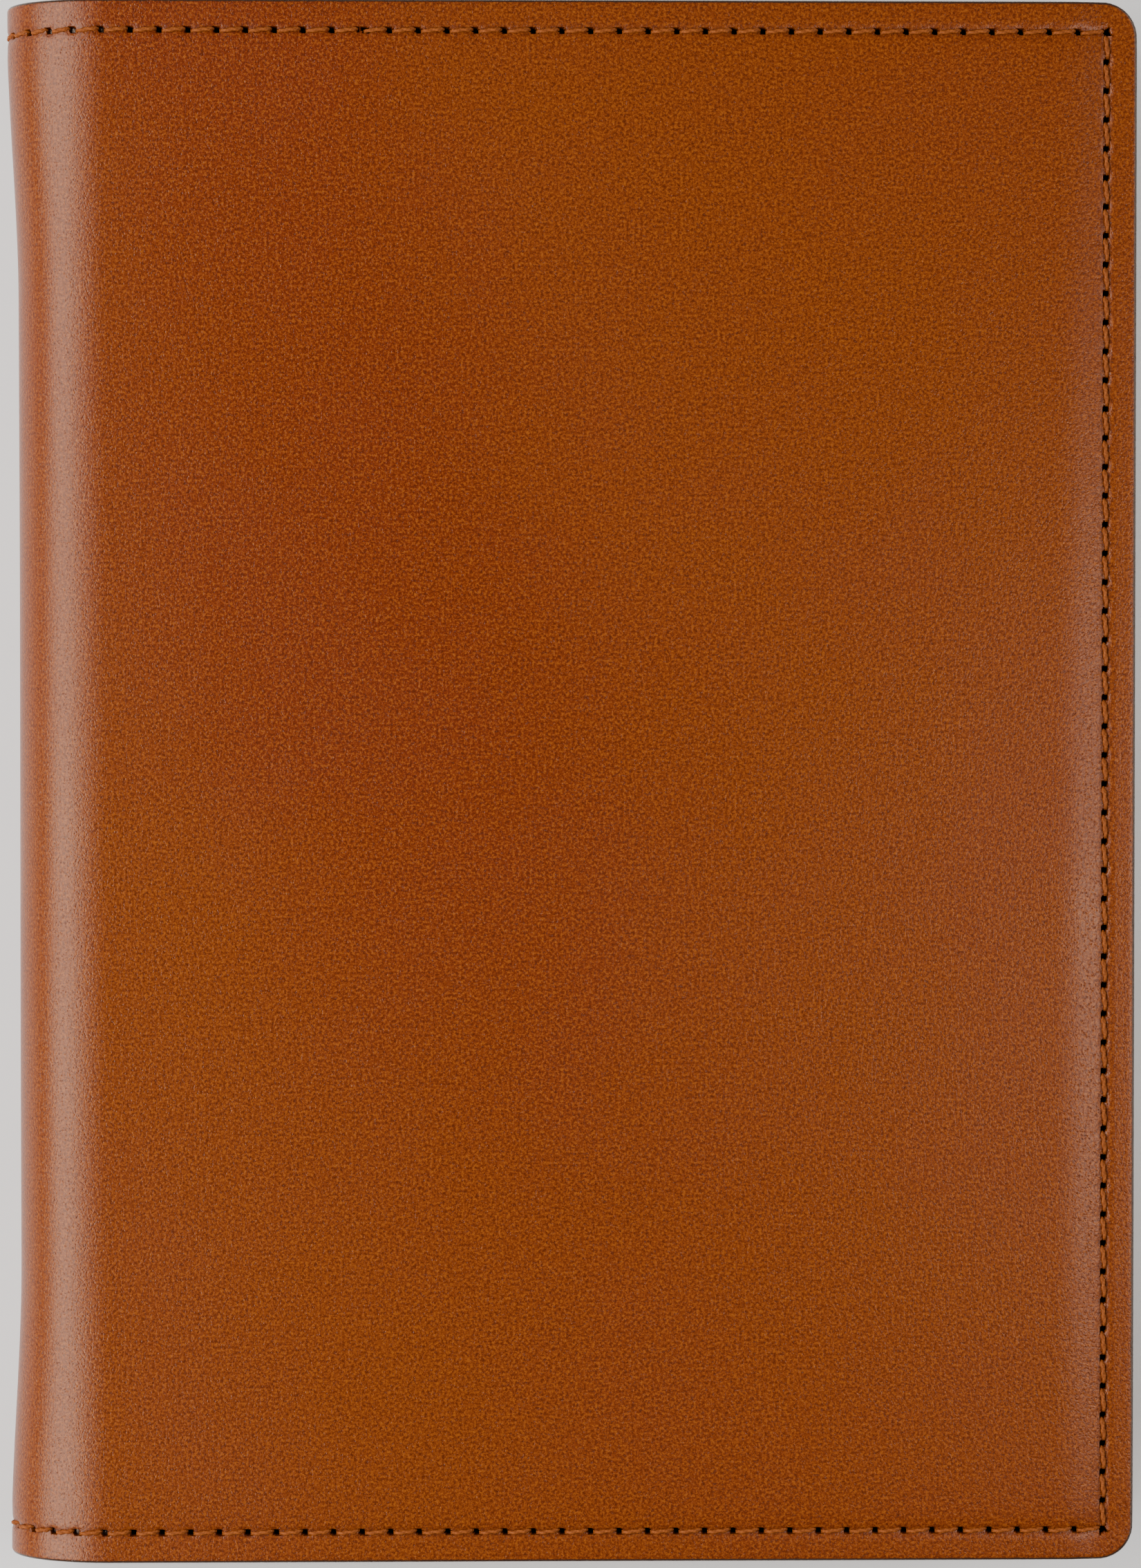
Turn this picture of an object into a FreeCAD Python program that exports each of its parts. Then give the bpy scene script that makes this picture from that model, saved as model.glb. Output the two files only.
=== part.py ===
"""Leather cover for a sewn A5 notebook, closed, lying on its back, with the notebook in it.

+X points to the fore-edge, +Y to the head, +Z up; the origin is at the middle of the face it
lies on. The cover is cut to fit the notebook, so its size is worked out from the page block.
The curved spine is five leather strips, hinged on lines in the outer face of the leather, so
that it unrolls flat when the front cover opens.
"""
import os
import re

import FreeCAD
import Part
import Sketcher

SIZES = {
    "page_width": 147.5,         # page block, spine to fore-edge
    "page_height": 208.0,
    "block_thickness": 11.4,
    "page_corner": 6.0,
    "tape_thickness": 0.4,       # cloth tape glued down the back of the block
    "spine_tuck": 4.9,           # how far the tape sits inside the curve of the spine
    "fore_margin": 7.0,          # page edge to cover edge
    "head_margin": 6.0,
    "block_clearance": 0.3,      # page block to sleeves
    "leather_thickness": 1.2,
    "board_thickness": 0.8,
    "board_margin": 7.7,         # board edge to cover edge
    "board_spine_gap": 4.0,      # board edge to the start of the spine curve
    "board_clearance": 0.1,
    "board_corner": 2.0,
    "lining_thickness": 0.5,
    "lining_setback": 0.4,       # lining and sleeve stop short of the leather's cut edge
    "card_thickness": 0.5,       # the notebook's own covers, which slide into the sleeves
    "card_clearance": 0.1,
    "card_edge_clearance": 0.2,
    "card_spine_gap": 1.0,
    "sleeve_thickness": 0.8,
    "sleeve_width": 65.0,
    "cover_corner": 5.0,
    "fold_angle": 30.0,          # turn of each fold of the spine, a sixth of half a turn
    "fold_gap": 0.6,             # degrees left open between two strips
    "seam_inset": 4.3,           # cut edge to the line of stitches
    "seam_channel_width": 0.9,
    "seam_channel_depth": 0.45,
    "thread_width": 0.6,
    "thread_height": 0.35,
    "stitch_share": 0.8,         # visible thread as a share of the stitch pitch
    "row_stitches": 36,
    "plain_row_stitches": 20,    # of these, the ones between the spine and the sleeve
    "edge_stitches": 52,
    "fold_stitch_angle": 21.0,   # turn of the one stitch at each end of a spine strip
    "signatures": 8,
}
DERIVED = {
    "board_floor": "leather_thickness",
    "board_top": "board_floor + board_thickness",
    "rim_lining_top": "leather_thickness + lining_thickness",
    "lining_top": "board_top + lining_thickness",
    "card_bottom": "lining_top + card_clearance",
    "pocket_top": "card_bottom + card_thickness + card_clearance",
    "sleeve_top": "pocket_top + sleeve_thickness",
    "rim_sleeve_top": "rim_lining_top + sleeve_thickness",
    "half_thickness": "block_thickness / 2 + block_clearance + sleeve_top",
    "cover_half_height": "page_height / 2 + head_margin",
    "cover_width": "half_thickness + page_width + tape_thickness + fore_margin - spine_tuck",
    "fore_edge": "cover_width / 2",
    "spine_x": "half_thickness - fore_edge",
    "page_edge": "fore_edge - fore_margin",
    "page_spine": "page_edge - page_width",
    "signature_height": "block_thickness / signatures",
    "lining_edge": "fore_edge - lining_setback",
    "lining_half_height": "cover_half_height - lining_setback",
    "board_edge": "fore_edge - board_margin",
    "board_start": "spine_x + board_spine_gap",
    "board_half_height": "cover_half_height - board_margin",
    "card_edge": "page_edge + block_clearance - card_edge_clearance",
    "card_half_height": "page_height / 2 + card_edge_clearance",
    "pocket_edge": "card_edge + card_edge_clearance",
    "pocket_half_height": "card_half_height + card_edge_clearance",
    "sleeve_start": "fore_edge - sleeve_width",
    "seam_x": "fore_edge - seam_inset",
    "seam_y": "cover_half_height - seam_inset",
    "row_pitch": "(seam_x - spine_x) / row_stitches",
    "edge_pitch": "2 * seam_y / edge_stitches",
}

doc = FreeCAD.newDocument("notebook_cover")
dims = doc.addObject("Spreadsheet::Sheet", "dims")
for row, (alias, size) in enumerate(SIZES.items(), start=1):
    dims.set("A%d" % row, alias)
    dims.set("B%d" % row, str(size))
    dims.setAlias("B%d" % row, alias)
doc.recompute()
parts = []


def formula(text):
    """Write a formula in plain names as one that reads the sheet's cells."""
    def cell(match):
        word = match.group(0)
        if word in DERIVED:
            return "(" + formula(DERIVED[word]) + ")"
        return "dims." + word if word in SIZES else word
    return re.sub(r"[a-z_]+", cell, text)


def bind(thing, **formulas):
    for name, text in formulas.items():
        thing.setExpression(name.replace("__", "."), formula(text))


def new_body(name, spine_frame=False, front=False, turn=None):
    """A body; a front one is the back one turned over about the mid-plane of the cover."""
    body = doc.addObject("PartDesign::Body", name)
    body.Label = name
    body.AllowCompound = True
    if front:
        body.Placement.Rotation = FreeCAD.Rotation(FreeCAD.Vector(1, 0, 0), 180)
        bind(body, Placement__Base__z="2 * half_thickness")
    if spine_frame:
        body.Placement.Rotation = FreeCAD.Rotation(FreeCAD.Vector(0, 1, 0), 1)
        bind(body, Placement__Base__x="spine_x", Placement__Base__z="half_thickness",
             Placement__Rotation__Angle=turn)
    parts.append(body)
    return body


def new_sketch(body, name, rectangles, lift="0", plane="XY_Plane", axis=None, axis_upright=True):
    """Rectangles given as (low x, high x, low y, high y), and a line to turn them about."""
    sketch = body.newObject("Sketcher::SketchObject", body.Name + "_" + name)
    support = next(f for f in body.Origin.OriginFeatures if f.Role == plane)
    sketch.AttachmentSupport = [(support, "")]
    sketch.MapMode = "FlatFace"
    bind(sketch, AttachmentOffset__Base__z=lift)
    for index, sides in enumerate(rectangles):
        corners = [FreeCAD.Vector(x, y + 3 * index, 0) for x, y in ((1, 1), (2, 1), (2, 2), (1, 2))]
        first = sketch.GeometryCount
        for i in range(4):
            sketch.addGeometry(Part.LineSegment(corners[i], corners[(i + 1) % 4]), False)
        for i in range(4):
            sketch.addConstraint(Sketcher.Constraint("Coincident", first + i, 2,
                                                     first + (i + 1) % 4, 1))
            level = "Horizontal" if i % 2 == 0 else "Vertical"
            sketch.addConstraint(Sketcher.Constraint(level, first + i))
        places = (("DistanceX", first, 1), ("DistanceX", first + 1, 2),
                  ("DistanceY", first, 1), ("DistanceY", first + 1, 2))
        for (kind, line, end), side in zip(places, sides):
            number = sketch.addConstraint(Sketcher.Constraint(kind, -1, 1, line, end, 1.0))
            bind(sketch, **{"Constraints[%d]" % number: side})
    if axis is not None:
        low, high = FreeCAD.Vector(0, 0, 0), FreeCAD.Vector(1, 0, 0)
        if axis_upright:
            high = FreeCAD.Vector(0, 1, 0)
        line = sketch.addGeometry(Part.LineSegment(low, high), True)
        level = "Vertical" if axis_upright else "Horizontal"
        sketch.addConstraint(Sketcher.Constraint(level, line))
        across, along = ("DistanceX", "DistanceY") if axis_upright else ("DistanceY", "DistanceX")
        for kind, end, text in ((across, 1, axis), (along, 1, "-1"), (along, 2, "1")):
            number = sketch.addConstraint(Sketcher.Constraint(kind, -1, 1, line, end, 1.0))
            bind(sketch, **{"Constraints[%d]" % number: text})
    return sketch


def feature(body, kind, name, sketch, reverse=False, **formulas):
    made = body.newObject("PartDesign::" + kind, body.Name + "_" + name)
    made.Profile = sketch
    made.Reversed = reverse
    bind(made, **formulas)
    body.Tip = made
    return made


def pad(body, name, rectangles, low, high):
    sketch = new_sketch(body, name + "_outline", rectangles, lift=low)
    return feature(body, "Pad", name, sketch, Length="(%s) - (%s)" % (high, low))


def pocket(body, name, rectangles, low, high):
    """Cut from the low level up to the high one."""
    sketch = new_sketch(body, name + "_outline", rectangles, lift=low)
    return feature(body, "Pocket", name, sketch, reverse=True,
                   Length="(%s) - (%s)" % (high, low))


def turned(body, kind, name, rectangles, lift, plane, axis, axis_upright, turn, midplane, reverse):
    """Turn rectangles about a line, to add them (Revolution) or cut them away (Groove)."""
    sketch = new_sketch(body, name + "_outline", rectangles, lift=lift, plane=plane,
                        axis=axis, axis_upright=axis_upright)
    made = feature(body, kind, name, sketch, reverse=reverse, Angle=turn)
    made.ReferenceAxis = (sketch, ["Axis0"])
    made.Midplane = midplane
    return made


def round_corners(body, radius, both_sides=False):
    """Round the upright corners at the fore-edge, or at both sides."""
    doc.recompute()
    base = body.Tip
    box = base.Shape.BoundBox
    sides = (box.XMax, box.XMin) if both_sides else (box.XMax,)
    names = []
    for number, edge in enumerate(base.Shape.Edges, start=1):
        ends = [vertex.Point for vertex in edge.Vertexes]
        upright = len(ends) == 2 and abs(ends[0].z - ends[1].z) > 1e-6
        if upright and any(all(abs(end.x - side) < 1e-6 for end in ends) for side in sides):
            names.append("Edge%d" % number)
    made = body.newObject("PartDesign::Fillet", body.Name + "_corners")
    made.Base = (base, names)
    bind(made, Radius=radius)
    body.Tip = made


def repeat(body, original, direction, count, pitch):
    made = body.newObject("PartDesign::LinearPattern", original.Name + "_repeat")
    made.Originals = [original]
    made.Direction = (original.Profile[0], [direction])
    bind(made, Length="(%s) * ((%s) - 1)" % (pitch, count), Occurrences=count)
    body.Tip = made


def leather(name, front):
    """Outer leather of one cover, with the first half-fold of the spine and the sunk seam line."""
    body = new_body(name, front=front)
    high = "cover_half_height"
    pad(body, "panel", [("spine_x", "fore_edge", "-" + high, high)], "0", "leather_thickness")
    round_corners(body, "cover_corner")
    turned(body, "Revolution", "curve", [("-" + high, high, "0", "leather_thickness")],
           "spine_x", "YZ_Plane", "half_thickness", False, "(fold_angle - fold_gap) / 2",
           False, False)
    half = "seam_channel_width / 2"
    for end, seam in (("head", "seam_y"), ("tail", "-seam_y")):
        pocket(body, end + "_channel", [("spine_x", "seam_x + " + half, seam + " - " + half,
                                          seam + " + " + half)], "0", "seam_channel_depth")
        turned(body, "Groove", end + "_curve_channel",
               [(seam + " - " + half, seam + " + " + half, "-seam_channel_depth",
                 "seam_channel_depth")],
               "spine_x", "YZ_Plane", "half_thickness", False, "fold_angle", False, False)
    pocket(body, "edge_channel", [("seam_x - " + half, "seam_x + " + half, "-seam_y", "seam_y")],
           "0", "seam_channel_depth")
    return body


def board(name, front):
    body = new_body(name, front=front)
    high = "board_half_height"
    pad(body, "sheet", [("board_start", "board_edge", "-" + high, high)],
        "board_floor", "board_top")
    round_corners(body, "board_corner", both_sides=True)


def lining(name, front):
    """Thin lining glued over the board and down onto the leather round it."""
    body = new_body(name, front=front)
    high = "lining_half_height"
    pad(body, "sheet", [("spine_x", "lining_edge", "-(%s)" % high, high)],
        "board_floor", "lining_top")
    round_corners(body, "cover_corner - lining_setback")
    room = "board_clearance"
    tall = "board_half_height + board_clearance"
    pocket(body, "board_room", [("board_start - " + room, "board_edge + " + room,
                                 "-(%s)" % tall, tall)], "board_floor", "board_top")
    skin = " + board_clearance + lining_thickness"
    tall = "board_half_height" + skin
    pocket(body, "step", [("spine_x - 1", "fore_edge + 1", "-cover_half_height - 1",
                           "cover_half_height + 1"),
                          ("board_start - (0%s)" % skin, "board_edge" + skin,
                           "-(%s)" % tall, tall)], "rim_lining_top", "lining_top + 1")
    turned(body, "Revolution", "curve", [("-(%s)" % high, high, "board_floor", "rim_lining_top")],
           "spine_x", "YZ_Plane", "half_thickness", False, "(fold_angle - fold_gap) / 2",
           False, False)


def sleeve(name, front):
    """Leather pocket sewn down on three sides; the notebook's own cover slides into it."""
    body = new_body(name, front=front)
    high = "lining_half_height"
    pad(body, "sheet", [("sleeve_start", "lining_edge", "-(%s)" % high, high)],
        "rim_lining_top", "sleeve_top")
    round_corners(body, "cover_corner - lining_setback")
    pocket(body, "room", [("sleeve_start - 1", "pocket_edge", "-pocket_half_height",
                           "pocket_half_height")], "rim_lining_top", "pocket_top")
    tall = "pocket_half_height + sleeve_thickness"
    pocket(body, "step", [("sleeve_start - 3", "fore_edge + 1", "-cover_half_height - 1",
                           "cover_half_height + 1"),
                          ("sleeve_start - 2", "pocket_edge + sleeve_thickness",
                           "-(%s)" % tall, tall)], "rim_sleeve_top", "sleeve_top + 1")


def card(name, front):
    body = new_body(name, front=front)
    pad(body, "sheet", [("spine_x + card_spine_gap", "card_edge", "-card_half_height",
                         "card_half_height")], "card_bottom", "card_bottom + card_thickness")
    round_corners(body, "page_corner")


def stitching(name, front):
    """Linen thread on both faces of one cover, one solid a stitch."""
    body = new_body(name, front=front)
    half = "thread_width / 2"
    sink = "seam_channel_depth - thread_height"
    rows = (("outer_row", "0", "row_stitches", sink),
            ("lining_row", "0", "plain_row_stitches", "rim_lining_top"),
            ("sleeve_row", "plain_row_stitches + 1", "row_stitches - plain_row_stitches - 1",
             "rim_sleeve_top"))
    for row, first, count, low in rows:
        start = "spine_x + row_pitch * (%s + (1 - stitch_share) / 2)" % first
        dashes = [(start, start + " + row_pitch * stitch_share", seam + " - " + half,
                   seam + " + " + half) for seam in ("seam_y", "-seam_y")]
        dash = pad(body, row, dashes, low, low + " + thread_height")
        repeat(body, dash, "H_Axis", count, "row_pitch")
    for column, low in (("outer_edge", sink), ("sleeve_edge", "rim_sleeve_top")):
        start = "-seam_y + edge_pitch * (1 + (1 - stitch_share) / 2)"
        dash = pad(body, column, [("seam_x - " + half, "seam_x + " + half, start,
                                   start + " + edge_pitch * stitch_share")],
                   low, low + " + thread_height")
        repeat(body, dash, "V_Axis", "edge_stitches - 2", "edge_pitch")


def spine_ring(body, kind, name, inner, outer, spans, turn):
    """A band of the spine's curve about the local Y axis, between two radii."""
    turned(body, kind, name, [("-(%s)" % outer, "-(%s)" % inner, low, high)
                              for low, high in spans],
           "0", "XY_Plane", "0", True, turn, True, False)


def spine_strip(number, folds):
    """One strip of the spine: leather, lining and a stitch at each end of both faces."""
    radius = "half_thickness"
    skin = radius + " - leather_thickness"
    bare = skin + " - lining_thickness"
    high = "cover_half_height"
    turn = "fold_angle * (%d)" % folds
    body = new_body("spine_leather_%d" % number, spine_frame=True, turn=turn)
    spine_ring(body, "Revolution", "strip", skin, radius, [("-" + high, high)],
               "fold_angle - fold_gap")
    half = "seam_channel_width / 2"
    spine_ring(body, "Groove", "channels", radius + " - seam_channel_depth", radius + " + 1",
               [(seam + " - " + half, seam + " + " + half) for seam in ("seam_y", "-seam_y")],
               "fold_angle")
    body = new_body("spine_lining_%d" % number, spine_frame=True, turn=turn)
    high = "lining_half_height"
    spine_ring(body, "Revolution", "strip", bare, skin, [("-(%s)" % high, high)],
               "fold_angle - fold_gap")
    body = new_body("spine_stitching_%d" % number, spine_frame=True, turn=turn)
    half = "thread_width / 2"
    ends = [(seam + " - " + half, seam + " + " + half) for seam in ("seam_y", "-seam_y")]
    floor = radius + " - seam_channel_depth"
    spine_ring(body, "Revolution", "outer", floor, floor + " + thread_height", ends,
               "fold_stitch_angle")
    spine_ring(body, "Revolution", "inner", bare + " - thread_height", bare, ends,
               "fold_stitch_angle")


def page_block():
    """Sewn signatures, which lie in the back cover, and the cloth tape down their backs."""
    high = "page_height / 2"
    bottom = "half_thickness - block_thickness / 2"
    for step in range(SIZES["signatures"]):
        body = new_body("signature_%d" % (step + 1))
        low = bottom + " + signature_height * %d" % step
        pad(body, "sheets", [("page_spine", "page_edge", "-" + high, high)],
            low, low + " + signature_height")
        round_corners(body, "page_corner")
    body = new_body("binding_tape")
    pad(body, "strip", [("page_spine - tape_thickness", "page_spine", "-" + high, high)],
        bottom, bottom + " + block_thickness")


for side, front in (("back", False), ("front", True)):
    leather(side + "_leather", front)
    board(side + "_stiffener", front)
    lining(side + "_lining", front)
    sleeve(side + "_sleeve", front)
    card(side + "_card", front)
    stitching(side + "_stitching", front)
for number in range(1, 6):
    spine_strip(number, number - 3)
page_block()

doc.recompute()
for thing in doc.Objects:
    if "Invalid" in thing.State or "Error" in thing.State:
        raise RuntimeError("%s did not compute: %s" % (thing.Name, thing.State))
for body in parts:
    if body.Shape.isNull() or not body.Shape.isValid():
        raise RuntimeError(body.Label + " has no valid shape")
os.makedirs("parts", exist_ok=True)
for body in parts:
    body.Shape.exportStep("parts/%s.step" % body.Label)
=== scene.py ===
import math

import bmesh
import bpy
import numpy as np
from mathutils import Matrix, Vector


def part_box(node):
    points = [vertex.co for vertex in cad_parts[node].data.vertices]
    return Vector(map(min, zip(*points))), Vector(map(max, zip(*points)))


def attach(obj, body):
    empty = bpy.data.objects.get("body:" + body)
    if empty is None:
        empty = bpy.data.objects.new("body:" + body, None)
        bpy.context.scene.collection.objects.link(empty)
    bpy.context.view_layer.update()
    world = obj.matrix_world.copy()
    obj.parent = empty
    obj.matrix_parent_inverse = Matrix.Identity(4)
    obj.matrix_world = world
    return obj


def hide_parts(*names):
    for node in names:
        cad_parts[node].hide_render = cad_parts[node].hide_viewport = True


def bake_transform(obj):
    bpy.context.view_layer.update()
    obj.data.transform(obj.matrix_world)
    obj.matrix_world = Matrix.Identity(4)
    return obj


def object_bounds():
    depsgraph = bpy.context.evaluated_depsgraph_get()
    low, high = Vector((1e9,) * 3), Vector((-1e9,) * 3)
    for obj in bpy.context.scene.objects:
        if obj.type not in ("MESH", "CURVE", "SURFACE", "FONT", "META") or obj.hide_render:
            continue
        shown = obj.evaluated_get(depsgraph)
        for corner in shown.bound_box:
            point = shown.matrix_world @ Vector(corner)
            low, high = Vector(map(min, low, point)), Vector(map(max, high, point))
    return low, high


bl_info = {
    "name": "Leather notebook cover",
    "version": (1, 0, 0),
    "blender": (4, 5, 0),
    "location": "3D View > Sidebar > Cover",
    "description": "Builds a hand-stitched leather cover round the frame of an A5 notebook",
    "category": "Add Mesh",
}

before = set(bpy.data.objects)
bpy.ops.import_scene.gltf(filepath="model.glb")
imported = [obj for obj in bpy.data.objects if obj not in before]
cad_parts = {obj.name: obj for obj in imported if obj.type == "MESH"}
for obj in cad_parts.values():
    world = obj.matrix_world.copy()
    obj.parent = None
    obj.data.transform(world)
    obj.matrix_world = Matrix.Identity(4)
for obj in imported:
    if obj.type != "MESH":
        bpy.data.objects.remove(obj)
CAD_LOW, CAD_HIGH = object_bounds()

MM = 0.001
RADIUS = (CAD_HIGH.z - CAD_LOW.z) / 2
FORE = CAD_HIGH.x
HALF_TALL = CAD_HIGH.y
SPINE_X = CAD_LOW.x + RADIUS
CURVE = math.pi * RADIUS
BACK_START = SPINE_X - CURVE
BACK_FORE = BACK_START - (FORE - SPINE_X)
STRIPS = 5
FOLD = CURVE / (STRIPS + 1)
LEATHER = 1.2 * MM
LINING = 0.5 * MM
SLEEVE = 0.8 * MM
RIM_LINING_FACE = LEATHER + LINING
RIM_SLEEVE_FACE = RIM_LINING_FACE + SLEEVE
PAGE_CORNER = 6 * MM
SIGNATURES = 8
HOLE_REACH = 0.9 * MM
NO_HOLE_NEAR = 9 * MM
SLEEVE_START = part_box("front_sleeve")[0].x
SLEEVE_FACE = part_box("back_sleeve")[1].z


class CoverSettings(bpy.types.PropertyGroup):
    """Sizes and colours of the cover."""

    seam_inset: bpy.props.FloatProperty(
        name="Seam inset", description="Cut edge to the line of stitches",
        default=4.3 * MM, unit="LENGTH")
    corner_radius: bpy.props.FloatProperty(
        name="Corner radius", description="Rounding of the fore-edge corners",
        default=5 * MM, unit="LENGTH")
    row_stitches: bpy.props.IntProperty(
        name="Row stitches", description="Stitches along head or tail, both covers", default=80)
    edge_stitches: bpy.props.IntProperty(
        name="Edge stitches", description="Stitches along one fore-edge", default=52)
    thread_width: bpy.props.FloatProperty(
        name="Thread width", description="Diameter of the twisted thread",
        default=0.74 * MM, unit="LENGTH")
    light_tan: bpy.props.FloatVectorProperty(
        name="Light tan", description="Where the dye took lightly", subtype="COLOR",
        default=(0.170, 0.0325, 0.0020))
    deep_tan: bpy.props.FloatVectorProperty(
        name="Deep tan", description="Where the dye took deeply", subtype="COLOR",
        default=(0.146, 0.0172, 0.0004))
    edge_dye: bpy.props.FloatVectorProperty(
        name="Edge dye", description="Colour of the burnished cut edges", subtype="COLOR",
        default=(0.035, 0.018, 0.012))
    thread_colour: bpy.props.FloatVectorProperty(
        name="Thread", description="Colour of the linen thread", subtype="COLOR",
        default=(0.36, 0.100, 0.020))
    lining_colour: bpy.props.FloatVectorProperty(
        name="Lining", description="Colour of the lining", subtype="COLOR",
        default=(0.27, 0.115, 0.038))
    paper_colour: bpy.props.FloatVectorProperty(
        name="Paper", description="Colour of the pages", subtype="COLOR",
        default=(0.80, 0.70, 0.50))


# ---- places on the hide -------------------------------------------------------------------
# The hide is laid out flat in u and v before it is wrapped. u falls from the front fore-edge,
# round the spine, to the back fore-edge; v runs from tail to head, as Y does.

def smooth(low, high, x):
    t = np.clip((x - low) / (high - low), 0, 1)
    return t * t * (3 - 2 * t)


def sink(u, v):
    """How far the hide sinks inside the true curve: it slackens before the spine, and the
    nose of the spine is drawn in along the middle of its length."""
    on_panel = np.maximum(np.maximum(u - SPINE_X, BACK_START - u), 0)
    start, slack = 0.6 * MM, 5 * MM
    panel = start * np.clip(1 - on_panel / slack, 0, 1) ** 2
    nose = MM * (1.7 - 1.6 * smooth(0.62, 1.0, np.abs(v) / HALF_TALL))
    quarter = CURVE / 2
    t = np.clip(np.minimum(SPINE_X - u, u - BACK_START) / quarter, 0, 1)
    leave = (t ** 3 - 2 * t ** 2 + t) * quarter * 2 * start / slack
    rise = smooth(0, 1, t)
    curve = start * (1 - rise) + leave + nose * rise
    return np.where(on_panel > 0, panel, curve)


def wrap(u, v, lift):
    """Points of the flat hide, at a height above its outer face, on the closed cover."""
    lift = lift - sink(u, v)
    x, y, z = u.copy(), v.copy(), 2 * RADIUS + lift
    turn = np.clip((SPINE_X - u) / RADIUS, 0, math.pi)
    curved = (u < SPINE_X) & (u > BACK_START)
    reach = RADIUS + lift
    x = np.where(curved, SPINE_X - reach * np.sin(turn), x)
    z = np.where(curved, RADIUS + reach * np.cos(turn), z)
    back = u <= BACK_START
    x = np.where(back, SPINE_X + BACK_START - u, x)
    z = np.where(back, -lift, z)
    return np.stack([x, y, z], axis=1)


def fore_gap(u):
    """Distance from the nearer fore-edge."""
    return np.minimum(FORE - u, u - BACK_FORE)


def rim_gap(u, v, radius):
    """Distance inside the cut edge, whose fore-edge corners are round."""
    a = fore_gap(u)
    b = HALF_TALL - np.abs(v)
    corner = (a < radius) & (b < radius)
    return np.where(corner, radius - np.hypot(radius - a, radius - b), np.minimum(a, b))


class Seam:
    """The line of stitches: rows along head and tail, and a column down each fore-edge."""

    def __init__(self, settings):
        self.inset = settings.seam_inset
        self.row_v = HALF_TALL - self.inset
        self.edge_u = FORE - self.inset
        self.far_u = BACK_FORE + self.inset
        self.row_pitch = (self.edge_u - self.far_u) / settings.row_stitches
        self.edge_pitch = 2 * self.row_v / settings.edge_stitches
        self.restart_u = -28.6 * MM  # where the head row was begun again, with one more hole

    def gap(self, u, v):
        """Distance from the seam line."""
        row = np.hypot(np.abs(v) - self.row_v, np.maximum(u - self.edge_u, 0)
                       + np.maximum(self.far_u - u, 0))
        inside = np.maximum(np.abs(v) - self.row_v, 0)
        column = np.hypot(np.minimum(np.abs(u - self.edge_u), np.abs(u - self.far_u)), inside)
        return np.minimum(row, column)

    def nearest_hole(self, u, v):
        """Offset along and across the seam from the nearest needle hole."""
        on_row = np.abs(np.abs(v) - self.row_v)
        on_edge = np.minimum(np.abs(u - self.edge_u), np.abs(u - self.far_u))
        along_row = (self.edge_u - u + self.row_pitch / 2) % self.row_pitch - self.row_pitch / 2
        again = u - self.restart_u
        restart = (v > 0) & (np.abs(again) < HOLE_REACH)
        along_row = np.where(restart, -again, along_row)
        along_edge = (v + self.row_v + self.edge_pitch / 2) % self.edge_pitch
        along_edge = along_edge - self.edge_pitch / 2
        column = on_edge < on_row
        side = np.where(np.abs(u - self.edge_u) < np.abs(u - self.far_u),
                        u - self.edge_u, u - self.far_u)
        along = np.where(column, along_edge, along_row)
        across = np.where(column, side, (np.abs(v) - self.row_v) * np.where(v < 0, -1, 1))
        past_end = self.gap(u, v) > HOLE_REACH
        return np.where(past_end, NO_HOLE_NEAR, along), across


def margin_drop(u, v):
    """Height of the sewn margin, which lies lower than the leather over the board."""
    fore = -0.42 * MM * (1 - smooth(5.2 * MM, 9.2 * MM, fore_gap(u)))
    head = -0.10 * MM * (1 - smooth(5.0 * MM, 8.0 * MM, HALF_TALL - np.abs(v)))
    return fore + head


def hide_lift(u, v, seam, radius):
    """Height of the leather's outer face: ridge, pressed seam line, needle holes, edges."""
    gap = rim_gap(u, v, radius)
    lift = margin_drop(u, v)
    round_over = np.clip(1 - gap / (0.62 * MM), 0, 1)
    lift -= 0.45 * MM * (1 - np.sqrt(1 - np.minimum(round_over, 0.999) ** 2))
    line = seam.gap(u, v)
    lift -= 0.20 * MM * np.exp(-(line / (0.62 * MM)) ** 2)
    along, across = seam.nearest_hole(u, v)
    lift -= 0.15 * MM * np.exp(-(np.hypot(along, across) / (0.85 * MM)) ** 2)
    hole = needle_hole(along, across)
    lift -= 0.85 * MM * hole
    lift -= 0.035 * MM * (1 + np.sin(u * 71 + 1.3) * np.sin(v * 47 + 0.4))
    return lift


def needle_hole(along, across):
    """1 inside a slanted needle hole, 0 outside."""
    slant = np.abs(along - 0.6 * across)
    return ((1 - smooth(0.42 * MM, 0.54 * MM, slant))
            * (1 - smooth(0.33 * MM, 0.46 * MM, np.abs(across))))


# ---- modelling tools ----------------------------------------------------------------------

def deselect():
    if bpy.context.object is not None and bpy.context.object.mode != "OBJECT":
        bpy.ops.object.mode_set(mode="OBJECT")
    bpy.ops.object.select_all(action="DESELECT")


def activate(piece):
    deselect()
    piece.select_set(True)
    bpy.context.view_layer.objects.active = piece


def apply_modifier(piece, kind, **values):
    modifier = piece.modifiers.new(kind.lower(), kind)
    for name, value in values.items():
        setattr(modifier, name, value)
    activate(piece)
    bpy.ops.object.modifier_apply(modifier=modifier.name)


def points(piece):
    flat = np.empty(len(piece.data.vertices) * 3)
    piece.data.vertices.foreach_get("co", flat)
    return flat.reshape(-1, 3)


def set_points(piece, places):
    piece.data.vertices.foreach_set("co", np.ascontiguousarray(places, dtype=float).ravel())
    piece.data.update()


def keep_value(piece, name, values):
    """Store one number a vertex for the materials to read."""
    layer = piece.data.attributes.new(name, "FLOAT", "POINT")
    layer.data.foreach_set("value", np.asarray(values, dtype=np.float32))


def keep_place(piece, places):
    layer = piece.data.attributes.new("hide_place", "FLOAT_VECTOR", "POINT")
    layer.data.foreach_set("vector", np.asarray(places, dtype=np.float32).ravel())


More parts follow.
